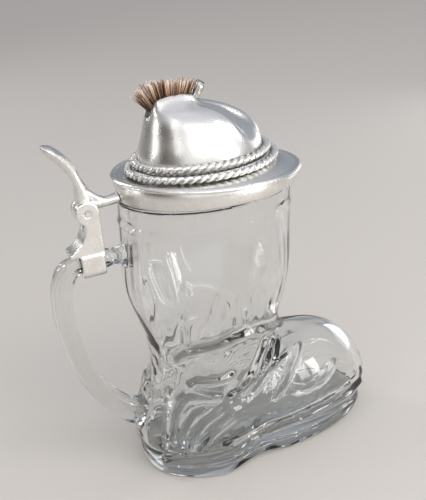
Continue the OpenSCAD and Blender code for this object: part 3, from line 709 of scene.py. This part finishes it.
def makeHat():
    h = hat
    fine = [smoothRows(rows, np.linspace(0, len(rows) - 1, (len(rows) - 1) * h["steps"] + 1)) for rows in hatRows()]
    rows = np.concatenate(fine)
    rows[:, 1:3] = np.minimum(rows[:, 1:3], lid["lidR"] + lid["brimOver"])
    rings = hatRings(rows)
    low, high = boxMm("tuft_clip")
    gap, clipL, fade = h["grooveGap"], h["clipL"], h["collarFade"]
    # a soft collar beside the groove covers the roots of the bristles
    x, y, z = (rings[len(fine[0]):, :, k] for k in range(3))
    z += h["collarRise"] * bell((np.abs(y) - h["collarY"]) / h["collarW"]) * ramp(z, low[2], fade) \
        * ramp(x - low[0] + h["collarEnds"][0], 0, fade) * ramp(x, low[0] + clipL + h["collarEnds"][1], -fade)
    obj = newObject("hatCasting", loftMesh("hatCasting", rings), pewter)
    cutter = bpy.data.meshes.new("groove")  # it runs out at the crown's back
    shape = bmesh.new()
    bmesh.ops.create_cube(shape, size=1.0)
    size = Vector((1.5 * clipL + gap, high[1] - low[1] + 2 * gap, 2 * h["grooveD"])) * mm
    corner = Vector((low[0] - clipL / 2, low[1] - gap, low[2])) * mm
    shape.transform(Matrix.Translation(corner + size / 2) @ Matrix.Diagonal((*size, 1)))
    shape.to_mesh(cutter)
    shape.free()
    cutterObject = newObject("groove", cutter, pewter)
    cut = obj.modifiers.new("groove", "BOOLEAN")
    cut.operation, cut.solver, cut.object = "DIFFERENCE", "EXACT", cutterObject
    mesh = plainMesh(obj, "hatCasting")
    bpy.data.objects.remove(cutterObject)
    points = np.array([v.co for v in mesh.vertices]) / mm
    height = points[:, 2] - lidZ
    radius = np.hypot(points[:, 0] - lidX - h["x"], points[:, 1])
    # tarnish and painted shade: darker in a band round the crown's foot, behind and between the cords
    tarnishShade = h["tarnishShade"] * ramp(radius, *h["tarnishShadeOut"])
    dressMetal(mesh, tarnishShade * ramp(height, *h["tarnishShadeTop"]) * ramp(height, *h["tarnishShadeLow"]))
    mesh.set_sharp_from_angle(angle=math.radians(h["sharp"]))
    return place(obj, "lid", "hat_shell")


rimObject = makeLidRim()
hatObject = makeHat()
print("lid:", [len(o.data.polygons) for o in (rimObject, hatObject)], "faces")


# Geometry Nodes

def newTree(name, output, **inputs):  # a tree with named inputs, by kind, and their sockets
    tree = bpy.data.node_groups.new(name, "GeometryNodeTree")
    for kind, labels in inputs.items():
        for label in labels:
            tree.interface.new_socket(label, in_out="INPUT", socket_type="NodeSocket" + kind)
    tree.interface.new_socket(output, in_out="OUTPUT", socket_type="NodeSocketGeometry")
    return tree, add(tree, "NodeGroupInput").outputs


def closeTree(tree, shape, centre, material):  # put in place, made real, smooth and of its material
    moved = add(tree, "GeometryNodeTransform", {"Geometry": shape, "Translation": centre})
    real = add(tree, "GeometryNodeRealizeInstances", {"Geometry": moved})
    smooth = add(tree, "GeometryNodeSetShadeSmooth", {"Geometry": real})
    painted = add(tree, "GeometryNodeSetMaterial", {"Geometry": smooth, "Material": material})
    add(tree, "NodeGroupOutput", {0: painted})
    return tree


def grow(name, tree, values, material):  # an object whose mesh comes from a node tree
    obj = newObject(name, bpy.data.meshes.new(name), material)
    nodes = obj.modifiers.new(tree.name, "NODES")
    nodes.node_group = tree
    for item in tree.interface.items_tree:
        if item.in_out == "INPUT":
            nodes[item.identifier] = values[item.name]
    plainMesh(obj, name)
    return obj


# Twisted cords round the crown, two strands each

cords = {
    "twistMm": 8.4, "cordR": 2.0, "strandR": 1.18, "strands": 2, "perTwist": 20, "profile": 12,
    "lower": {"node": "hat_cord_lower", "name": "cordLower", "ring": 35.6, "rise": 12.9},
    "upper": {"node": "hat_cord_upper", "name": "cordUpper", "ring": 32.0, "rise": 16.9},
    "wallGap": 0.15, "tarnishShade": 0.35, "tarnishShadeFrom": (0.62, 0.9),
}


def makeCordTree():
    tree, given = newTree(
        "twistedCord", "Cord", Float=("Ring Radius", "Cord Radius", "Strand Radius", "Turns"), Int=("Points",),
        Vector=("Centre",), Material=("Metal",))
    lay = add(tree, "ShaderNodeMath", {0: given["Cord Radius"], 1: given["Strand Radius"]}, operation="SUBTRACT")
    profile = add(tree, "GeometryNodeCurvePrimitiveCircle", {
        "Resolution": cords["profile"], "Radius": given["Strand Radius"]})
    joined = add(tree, "GeometryNodeJoinGeometry")
    for k in range(cords["strands"]):
        ring = add(tree, "GeometryNodeCurvePrimitiveCircle", {
            "Resolution": given["Points"], "Radius": given["Ring Radius"]})
        along = add(tree, "GeometryNodeSplineParameter")
        turn = add(tree, "ShaderNodeMath", {0: given["Turns"], 1: 2 * math.pi}, operation="MULTIPLY")
        angle = add(tree, "ShaderNodeMath", {
            0: along.outputs["Factor"], 1: turn, 2: 2 * math.pi * k / cords["strands"]},
            operation="MULTIPLY_ADD")
        outward = add(tree, "ShaderNodeVectorMath", {
            0: add(tree, "GeometryNodeInputPosition")}, operation="NORMALIZE")
        out, rise = (add(tree, "ShaderNodeMath", {
            0: add(tree, "ShaderNodeMath", {0: angle}, operation=part), 1: lay}, operation="MULTIPLY")
            for part in ("COSINE", "SINE"))
        sideways = add(tree, "ShaderNodeVectorMath", {0: outward, "Scale": out}, operation="SCALE")
        upward = add(tree, "ShaderNodeCombineXYZ", {"Z": rise})
        offset = add(tree, "ShaderNodeVectorMath", {0: sideways, 1: upward}, operation="ADD")
        strand = add(tree, "GeometryNodeSetPosition", {"Geometry": ring, "Offset": offset})
        tube = add(tree, "GeometryNodeCurveToMesh", {"Curve": strand, "Profile Curve": profile})
        tree.links.new(tube.outputs[0], joined.inputs[0])
    # how deep a point lies in the cord, for the tarnish and painted shade between the strands
    parts = add(tree, "ShaderNodeSeparateXYZ", {0: add(tree, "GeometryNodeInputPosition")})
    level = add(tree, "ShaderNodeCombineXYZ", {"X": parts.outputs["X"], "Y": parts.outputs["Y"]})
    reach = add(tree, "ShaderNodeVectorMath", {0: level}, operation="LENGTH")
    off = add(tree, "ShaderNodeMath", {0: reach.outputs["Value"], 1: given["Ring Radius"]}, operation="SUBTRACT")
    across = add(tree, "ShaderNodeCombineXYZ", {"X": off, "Y": parts.outputs["Z"]})
    deep = add(tree, "ShaderNodeVectorMath", {0: across}, operation="LENGTH")
    share = add(tree, "ShaderNodeMath", {0: deep.outputs["Value"], 1: given["Cord Radius"]}, operation="DIVIDE")
    hollowShadeTarnish = add(tree, "ShaderNodeMapRange", {
        "Value": share, "From Min": cords["tarnishShadeFrom"][0], "From Max": cords["tarnishShadeFrom"][1],
        "To Min": cords["tarnishShade"], "To Max": 0.0})
    stored = add(tree, "GeometryNodeStoreNamedAttribute", {
        "Geometry": joined, "Name": "hollowShadeTarnish", "Value": hollowShadeTarnish})
    return closeTree(tree, stored, given["Centre"], given["Metal"])


def makeCord(tree, settings):
    c = cords
    ringR = settings["ring"] + c["cordR"] + c["wallGap"]
    turns = round(2 * math.pi * ringR / c["twistMm"])
    obj = grow(settings["name"], tree, {
        "Ring Radius": ringR * mm, "Cord Radius": c["cordR"] * mm, "Strand Radius": c["strandR"] * mm,
        "Turns": float(turns), "Points": turns * c["perTwist"],
        "Centre": ((lidX + hat["x"]) * mm, 0.0, (lidZ + settings["rise"]) * mm), "Metal": pewter}, pewter)
    return place(obj, "lid", settings["node"])


cordTree = makeCordTree()
cordObjects = [makeCord(cordTree, cords[k]) for k in ("lower", "upper")]
print("cords:", [len(o.data.polygons) for o in cordObjects], "faces")


# Bristle tuft, a fan of single bristles set in the clip

tuft = {
    "across": 34, "deep": 8, "segments": 5, "sides": 5, "rootR": 0.36, "tipR": 0.28,
    "length": 15.4, "shortest": 0.92, "trim": 0.4, "trimFront": 0.14, "trimPower": 10.0, "trimFrontPower": 4.0,
    "fanBack": 29.0, "fanFront": 25.0, "fanLast": 14.0, "fanSide": -16.0, "jitter": 3.0,
    "clump": 36.0, "clumpMm": 1.9, "toneMm": 1.5, "toneStretch": (1.0, 0.35, 1.0), "toneRange": (0.43, 0.55),
    "shake": (0.18, 0.22, 0.2), "clipT": 0.8, "tabFoot": 7.1, "endGap": 1.2, "sideGap": 0.9, "lift": 0.4,
    "seed": 11, "moreSeeds": (101.0, 202.0), "lengthSeed": 7,
}


def makeTuftTree():
    t = tuft
    tree, given = newTree(
        "bristleFan", "Tuft", Int=("Seed",), Vector=("Centre",), Material=("Hair",), Float=(
            "Span", "Width", "Length", "Root Radius", "Tip Radius", "Fan Back", "Fan Front", "Fan Side", "Fan Last",
            "Trim Front", "Jitter", "Clump", "Clump Size", "Tone Size", "Trim"))
    # one bristle, standing on the origin
    tip = add(tree, "ShaderNodeCombineXYZ", {"Z": given["Length"]})
    line = add(tree, "GeometryNodeCurvePrimitiveLine", {"End": tip})
    pieces = add(tree, "GeometryNodeResampleCurve", {"Curve": line, "Count": t["segments"]})
    factor = add(tree, "GeometryNodeSplineParameter").outputs["Factor"]
    along = add(tree, "GeometryNodeStoreNamedAttribute", {
        "Geometry": pieces, "Name": "along", "Value": factor})
    thick = add(tree, "ShaderNodeMapRange", {
        "Value": factor, "To Min": given["Root Radius"], "To Max": given["Tip Radius"]})
    profile = add(tree, "GeometryNodeCurvePrimitiveCircle", {"Resolution": t["sides"]})
    hair = add(tree, "GeometryNodeCurveToMesh", {
        "Curve": along, "Profile Curve": profile, "Scale": thick, "Fill Caps": True})
    # roots on a grid, a little uneven
    grid = add(tree, "GeometryNodeMeshGrid", {
        "Size X": given["Span"], "Size Y": given["Width"], "Vertices X": t["across"], "Vertices Y": t["deep"]})
    sx, sy, sz = (v * mm for v in t["shake"])
    shake = add(tree, "FunctionNodeRandomValue", {
        "Min": (-sx, -sy, 0.0), "Max": (sx, sy, sz), "Seed": given["Seed"]}, data_type="FLOAT_VECTOR")
    roots = add(tree, "GeometryNodeSetPosition", {"Geometry": grid.outputs["Mesh"], "Offset": shake})
    spot = add(tree, "ShaderNodeSeparateXYZ", {0: add(tree, "GeometryNodeInputPosition")})
    share, bySide = (add(tree, "ShaderNodeMath", {
        0: spot.outputs[axis], 1: given[label]}, operation="DIVIDE")
        for axis, label in (("X", "Span"), ("Y", "Width")))
    backward, spread = (add(tree, "ShaderNodeMath", {
        0: given[label], 1: -1.0}, operation="MULTIPLY") for label in ("Fan Back", "Jitter"))
    rear = add(tree, "ShaderNodeMath", {0: 0.5, 1: share}, operation="SUBTRACT", use_clamp=True)
    fan = add(tree, "ShaderNodeMapRange", {"Value": rear, "To Min": given["Fan Front"], "To Max": backward})
    last = add(tree, "ShaderNodeMath", {0: rear, 1: t["trimPower"]}, operation="POWER")
    stoop = add(tree, "ShaderNodeMath", {0: last, 1: given["Fan Last"]}, operation="MULTIPLY")
    fan = add(tree, "ShaderNodeMath", {0: fan, 1: stoop}, operation="SUBTRACT")
    lean = add(tree, "ShaderNodeMath", {0: bySide, 1: given["Fan Side"]}, operation="MULTIPLY")
    seeds = [add(tree, "ShaderNodeMath", {0: given["Seed"], 1: more}, operation="ADD") for more in t["moreSeeds"]]
    jitters = [add(tree, "FunctionNodeRandomValue", {
        2: spread, 3: given["Jitter"], "Seed": seed}).outputs[1] for seed in seeds]
    # neighbours lean together, which gathers the bristles in small bundles
    coarse, fine = (add(tree, "ShaderNodeMath", {
        0: 1.0, 1: given[label]}, operation="DIVIDE") for label in ("Clump Size", "Tone Size"))
    clumps = add(tree, "ShaderNodeTexNoise", {"Scale": coarse, "Detail": 0.0})
    sway = add(tree, "ShaderNodeVectorMath", {0: clumps.outputs["Color"], 1: (0.5, 0.5, 0.5)}, operation="SUBTRACT")
    sway = add(tree, "ShaderNodeVectorMath", {0: sway, "Scale": given["Clump"]}, operation="SCALE")
    turn = add(tree, "ShaderNodeCombineXYZ", {
        k: add(tree, "ShaderNodeMath", {0: way, 1: jitters[k]}, operation="ADD")
        for k, way in enumerate((lean, fan))})
    turn = add(tree, "ShaderNodeVectorMath", {0: turn, 1: sway}, operation="ADD")
    # the top is cut level, and the first and the last bristles are shorter
    bend = add(tree, "ShaderNodeSeparateXYZ", {0: turn})
    cosines = [add(tree, "ShaderNodeMath", {0: bend.outputs[k]}, operation="COSINE") for k in ("X", "Y")]
    upright = add(tree, "ShaderNodeMath", {0: cosines[0], 1: cosines[1]}, operation="MULTIPLY")
    front = add(tree, "ShaderNodeMath", {0: 1.0, 1: rear}, operation="SUBTRACT")
    first = add(tree, "ShaderNodeMath", {0: front, 1: t["trimFrontPower"]}, operation="POWER")
    first = add(tree, "ShaderNodeMath", {0: first, 1: given["Trim Front"]}, operation="MULTIPLY")
    last = add(tree, "ShaderNodeMath", {0: last, 1: given["Trim"]}, operation="MULTIPLY")
    size = add(tree, "FunctionNodeRandomValue", {
        2: t["shortest"], 3: 1.0, "Seed": t["lengthSeed"]}).outputs[1]
    for other, operation in ((first, "SUBTRACT"), (last, "SUBTRACT"), (upright, "DIVIDE")):
        size = add(tree, "ShaderNodeMath", {0: size, 1: other}, operation=operation)
    longer = add(tree, "ShaderNodeCombineXYZ", {"X": 1.0, "Y": 1.0, "Z": size})
    planted = add(tree, "GeometryNodeInstanceOnPoints", {
        "Points": roots, "Instance": hair, "Rotation": turn, "Scale": longer})
    # neighbours share a tone, so dark and pale bundles alternate
    rows = add(tree, "ShaderNodeVectorMath", {
        0: add(tree, "GeometryNodeInputPosition"), 1: t["toneStretch"]}, operation="MULTIPLY")
    bundles = add(tree, "ShaderNodeTexNoise", {"Vector": rows, "Scale": fine, "Detail": 1.0})
    tone = add(tree, "ShaderNodeMapRange", {
        "Value": bundles.outputs["Fac"], "From Min": t["toneRange"][0], "From Max": t["toneRange"][1]})
    toned = add(tree, "GeometryNodeStoreNamedAttribute", {
        "Geometry": planted, "Name": "tone", "Value": tone}, domain="INSTANCE")
    return closeTree(tree, toned, given["Centre"], given["Hair"])


def makeTuft():
    t = tuft
    low, high = boxMm("tuft_clip")
    room = hat["clipL"] - t["tabFoot"]
    centre = (low[0] + room / 2, 0.0, low[2] + t["clipT"] + t["lift"])
    lengths = {"Span": room - t["endGap"], "Width": high[1] - low[1] - 2 * t["clipT"] - t["sideGap"],
               "Length": t["length"], "Root Radius": t["rootR"], "Tip Radius": t["tipR"],
               "Clump Size": t["clumpMm"], "Tone Size": t["toneMm"]}
    angles = {"Fan Back": t["fanBack"], "Fan Front": t["fanFront"], "Fan Side": t["fanSide"],
              "Fan Last": t["fanLast"], "Jitter": t["jitter"], "Clump": t["clump"]}
    values = {k: float(v) * mm for k, v in lengths.items()} | {k: math.radians(v) for k, v in angles.items()}
    values |= {"Trim": t["trim"], "Trim Front": t["trimFront"], "Seed": t["seed"], "Hair": bristleHair,
               "Centre": tuple(float(c) * mm for c in centre)}
    obj = grow("bristleTuft", makeTuftTree(), values, bristleHair)
    return place(obj, "lid", "tuft_bristles")


tuftObject = makeTuft()
print("tuft:", len(tuftObject.data.polygons), "faces")


# Floor, light and camera

stage = {
    "floor": "#CDC7C0", "floorM": 8.0, "dim": "#57514B", "toFront": (0.21, -0.98, 0.0),
    "cool": "#9AA1AB", "coolFrom": (-0.8, 0.7), "front": "#E8E7E5", "frontFrom": (0.1, 0.65),
    "overhead": "#E6E8EF", "overheadFrom": (0.4, 0.95),
}


def makeFloor():
    mesh = bpy.data.meshes.new("floor")
    h = stage["floorM"]
    mesh.from_pydata([(-h, -h, 0), (h, -h, 0), (h, h, 0), (-h, h, 0)], [], [(0, 1, 2, 3)])
    material, tree = newMaterial("matteFloor")
    shader = add(tree, "ShaderNodeBsdfPrincipled", {"Base Color": hexColor(stage["floor"]), "Roughness": 0.7})
    add(tree, "ShaderNodeOutputMaterial", {"Surface": shader})
    floor = newObject("floor", mesh, material)


def makeWorld():
    world = bpy.data.worlds.new("studio")
    scene.world = world
    world.use_nodes = True
    tree = world.node_tree
    tree.nodes.clear()
    where = add(tree, "ShaderNodeTexCoord").outputs["Generated"]
    axes = add(tree, "ShaderNodeSeparateXYZ", {0: where})
    facing = add(tree, "ShaderNodeVectorMath", {0: where, 1: stage["toFront"]}, operation="DOT_PRODUCT")
    color = hexColor(stage["dim"])
    for name, value, kind in (
            ("cool", axes.outputs["X"], "LINEAR"), ("front", facing.outputs["Value"], "SMOOTHSTEP"),
            ("overhead", axes.outputs["Z"], "LINEAR")):
        start, end = stage[name + "From"]
        share = add(tree, "ShaderNodeMapRange", {
            "Value": value, "From Min": start, "From Max": end}, interpolation_type=kind)
        color = add(tree, "ShaderNodeMixRGB", {"Fac": share, "Color1": color, "Color2": hexColor(stage[name])})
    light = add(tree, "ShaderNodeBackground", {"Color": color})
    add(tree, "ShaderNodeOutputWorld", {"Surface": light})


lamps = [  # name, azimuth from the front and elevation, distance and size in metres, brightness in W/m2/sr
    ("frontSoftbox", 2, 34, 2.4, (6.2, 3.0), 0.26),
    ("nearStrip", 27, 8, 0.9, (0.07, 0.36), 9.0),
    ("farStrip", 40, 8, 0.9, (0.1, 0.36), 9.0),
    ("rightSoftbox", 112, 4, 0.9, (0.6, 0.35), 1.5),
    ("sideStrip", -111, 15, 2.0, (0.13, 1.1), 9.0),
    ("backStrip", -150, 26, 2.0, (0.13, 1.1), 12.0),
    ("leftStrip", -62, 46, 2.0, (0.04, 1.3), 14.0),
    ("rightStrip", 75, 42, 2.0, (0.04, 1.3), 14.0),
]
lampAim = (0.0, 0.0, 0.1)
floorFill = ("floorFill", (0.1, -0.55, 0.0), 8, 78, 0.75, (0.9, 0.5), 2.6)  # its own aim comes after its name


def addLamp(name, aim, azimuth, elevation, distance, size, brightness):
    data = bpy.data.lights.new(name, "AREA")
    data.shape, data.size, data.size_y = "RECTANGLE", *size
    data.energy = brightness * math.pi * size[0] * size[1]
    lamp = bpy.data.objects.new(name, data)
    scene.collection.objects.link(lamp)
    toward = direction(azimuth, elevation)
    lamp.location = Vector(aim) + toward * distance
    lamp.rotation_euler = (-toward).to_track_quat("-Z", "Y").to_euler()


def makeLamps():
    for name, *settings in lamps:
        addLamp(name, lampAim, *settings)
    addLamp(*floorFill)  # lights the floor in front, which the upright pewter mirrors


# the camera, solved on the outlines in the photo
view = {"azimuth": -19.0, "elevation": 20.517, "roll": 7.2, "distance": 0.46, "focalPx": 864.09, "longPx": 500,
        "target": (-1.601, 112.636)}


def makeCamera():
    a, r = math.radians(view["azimuth"]), math.radians(view["roll"])
    back = direction(view["azimuth"], view["elevation"])
    right = Vector((math.cos(a), math.sin(a), 0))
    up = back.cross(right)
    right, up = right * math.cos(r) - up * math.sin(r), right * math.sin(r) + up * math.cos(r)
    target = Vector(((view["target"][0] + lidX) * mm, 0, view["target"][1] * mm))
    data = bpy.data.cameras.new("camera")
    data.sensor_width = 36.0
    data.lens = view["focalPx"] / view["longPx"] * data.sensor_width
    data.clip_start = 0.02
    camera = bpy.data.objects.new("camera", data)
    scene.collection.objects.link(camera)
    turn = Matrix((right, up, back)).transposed().to_4x4()
    camera.matrix_world = Matrix.Translation(target + back * view["distance"]) @ turn
    scene.camera = camera


makeFloor()
makeWorld()
makeLamps()
makeCamera()
scene.view_settings.view_transform = "Standard"
print("floor, lamps and camera set")
